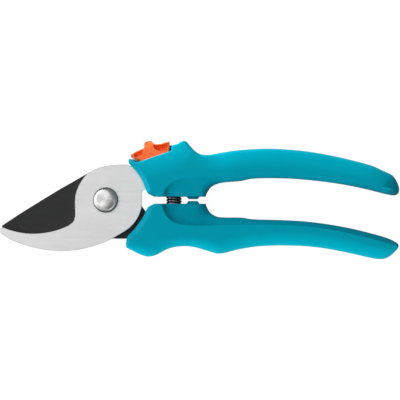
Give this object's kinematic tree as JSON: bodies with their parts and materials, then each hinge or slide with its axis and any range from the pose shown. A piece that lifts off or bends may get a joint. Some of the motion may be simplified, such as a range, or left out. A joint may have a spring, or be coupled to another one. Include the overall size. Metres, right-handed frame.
{
  "type": "pruning shears",
  "caption": "One-hand bypass pruning shears with a hooked counter blade, coated cutting blade, two moulded handles, return spring and sliding lock.",
  "frame": {"origin": "centre of the bounding box in X and Y, at the plane that the two handles' rear faces lie on", "axes": "+X from the blade tips to the handles' ends, +Y from the lower handle to the upper one, +Z out of the front faces"},
  "size_m": [0.1996, 0.0592, 0.018],
  "materials": {
    "moulded_grip": "fine satin moulded plastic, turquoise",
    "lock_plastic": "smooth moulded plastic, orange",
    "blade_steel": "satin ground stainless steel",
    "coated_steel": "matt black non-stick coating with a ground edge",
    "bolt_steel": "turned and polished steel",
    "spring_steel": "dark drawn spring wire",
    "screw_steel": "plain zinc-plated steel"
  },
  "bodies": {
    "upper_lever": {"hook_blade": "blade_steel", "upper_handle_front": "moulded_grip", "upper_handle_rear": "moulded_grip", "lock_detent_leaf": "spring_steel", "pivot_bolt": "bolt_steel", "pivot_washer": "bolt_steel", "pivot_lock_washer": "bolt_steel", "pivot_nut": "bolt_steel", "return_spring": "spring_steel", "upper_screw_1": "screw_steel", "upper_screw_2": "screw_steel", "upper_screw_3": "screw_steel"},
    "lower_lever": {"cutting_blade": "coated_steel", "lower_handle_front": "moulded_grip", "lower_handle_rear": "moulded_grip", "lower_screw_1": "screw_steel", "lower_screw_2": "screw_steel", "lower_screw_3": "screw_steel"},
    "lock": {"lock_slider": "lock_plastic", "lock_catch": "screw_steel"}
  },
  "joints": [
    {"name": "handle_pivot", "type": "hinge", "parent": "upper_lever", "child": "lower_lever", "pos_m": [-0.04695, 0, 0.009], "axis": [0, 0, -1], "range_deg": [0, 28], "deforming": ["return_spring"]},
    {"name": "lock_slide", "type": "slide", "parent": "upper_lever", "child": "lock", "axis": [0.9466, 0.3223, 0], "range_m": [0, 0.005]}
  ]
}
